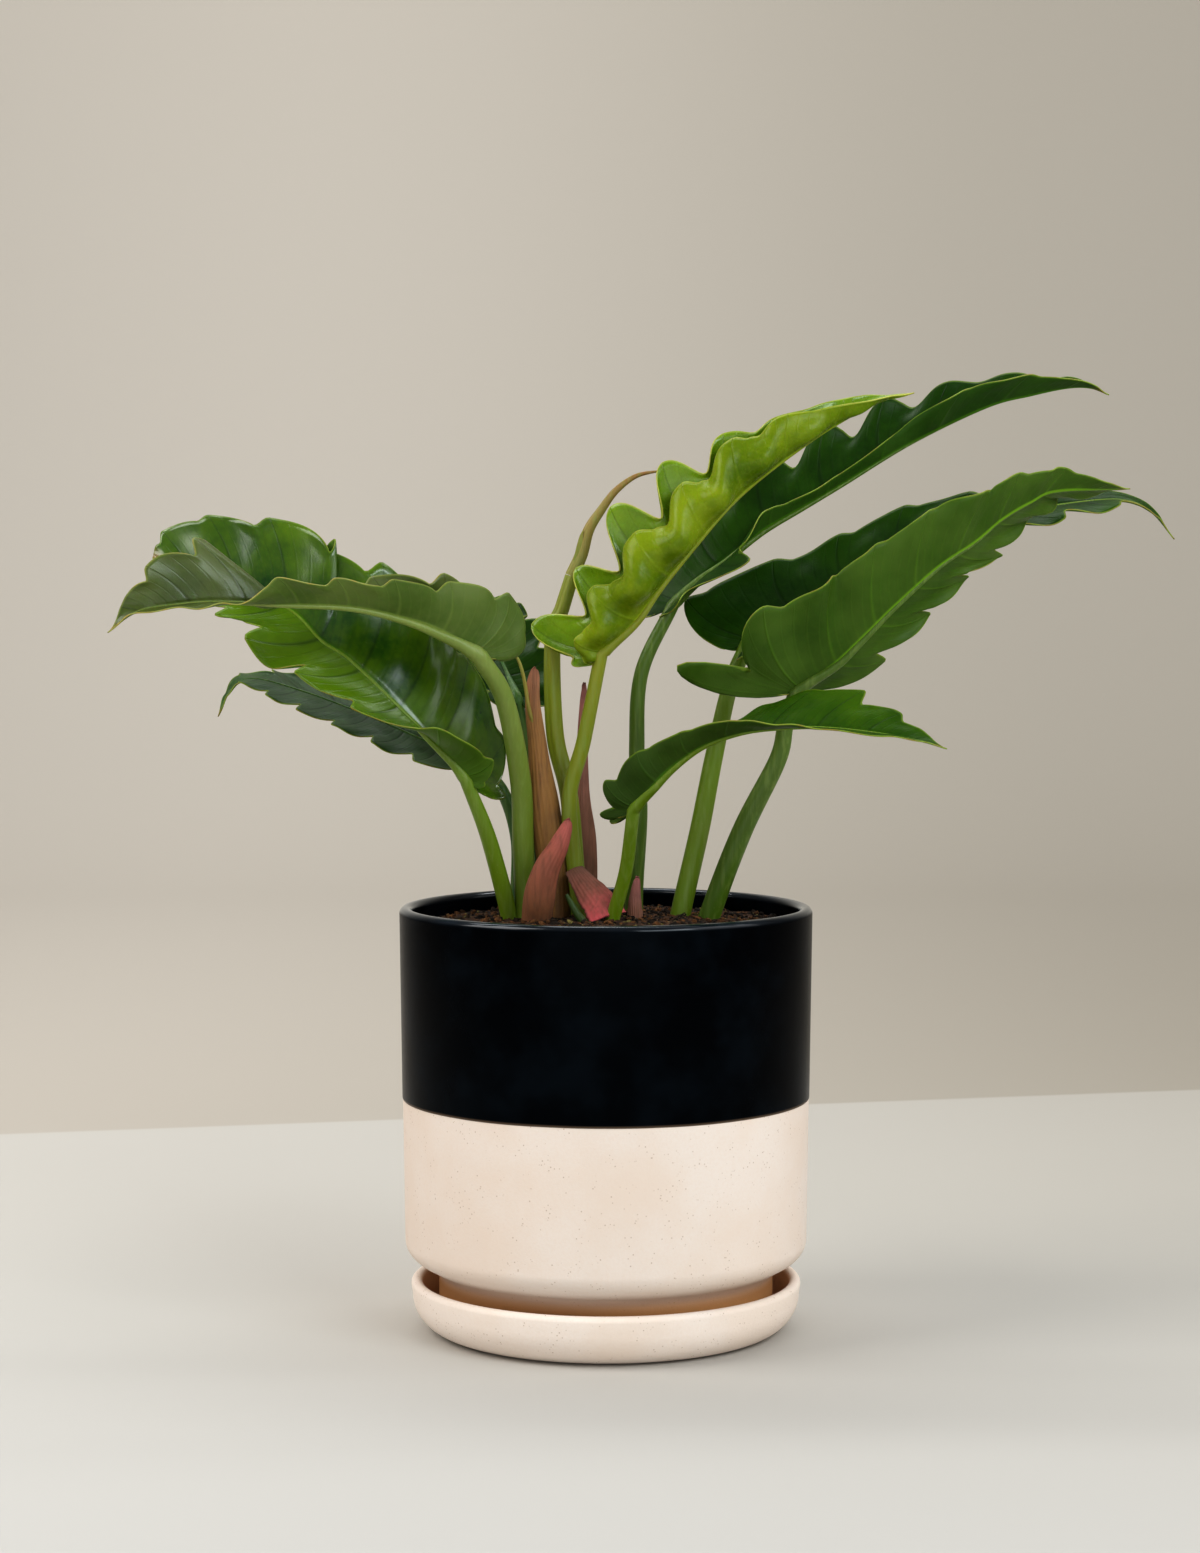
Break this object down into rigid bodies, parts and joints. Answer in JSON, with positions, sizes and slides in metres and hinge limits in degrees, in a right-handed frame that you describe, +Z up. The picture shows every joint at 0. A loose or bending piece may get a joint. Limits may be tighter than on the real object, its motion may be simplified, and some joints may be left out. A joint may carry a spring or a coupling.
{
  "type": "potted philodendron",
  "caption": "Foliage houseplant with long toothed, wavy leaves on stout stalks, rooted in soil in a half-glazed round ceramic pot that stands in its own saucer.",
  "frame": {"origin": "middle of the saucer's flat underside, on the pot's axis", "axes": "+Z up along the pot's axis, +X along the spread of the leaves to the right, the front faces -Y"},
  "size_m": [0.4336, 0.217, 0.3935],
  "materials": {
    "bare_clay": "matte, finely speckled",
    "pot_glaze": "satin black glaze, bare matte clay below",
    "potting_soil": "granular, matte",
    "rootstock": "matte",
    "mature_leaf": "waxy, half gloss",
    "young_leaf": "waxy, half gloss",
    "stalk": "waxy, half gloss",
    "sheath": "matte, dry"
  },
  "bodies": {
    "root": {"saucer": "bare_clay", "pot": "pot_glaze", "soil": "potting_soil", "rootstock": "rootstock", "leaf_01_stalk": "stalk", "leaf_01_blade": "mature_leaf", "leaf_02_stalk": "stalk", "leaf_02_blade": "mature_leaf", "leaf_03_stalk": "stalk", "leaf_03_blade": "mature_leaf", "leaf_04_stalk": "stalk", "leaf_04_blade": "mature_leaf", "leaf_05_stalk": "stalk", "leaf_05_rolled_blade": "young_leaf", "leaf_06_stalk": "stalk", "leaf_06_blade": "young_leaf", "leaf_07_stalk": "stalk", "leaf_07_blade": "mature_leaf", "leaf_08_stalk": "stalk", "leaf_08_blade": "mature_leaf", "leaf_09_stalk": "stalk", "leaf_09_blade": "mature_leaf", "leaf_10_stalk": "stalk", "leaf_10_blade": "mature_leaf", "sheath_tall_left": "sheath", "sheath_tall_right": "sheath", "sheath_front": "sheath", "sheath_papery": "sheath", "sheath_small": "sheath", "small_shoot": "stalk"}
  },
  "joints": []
}
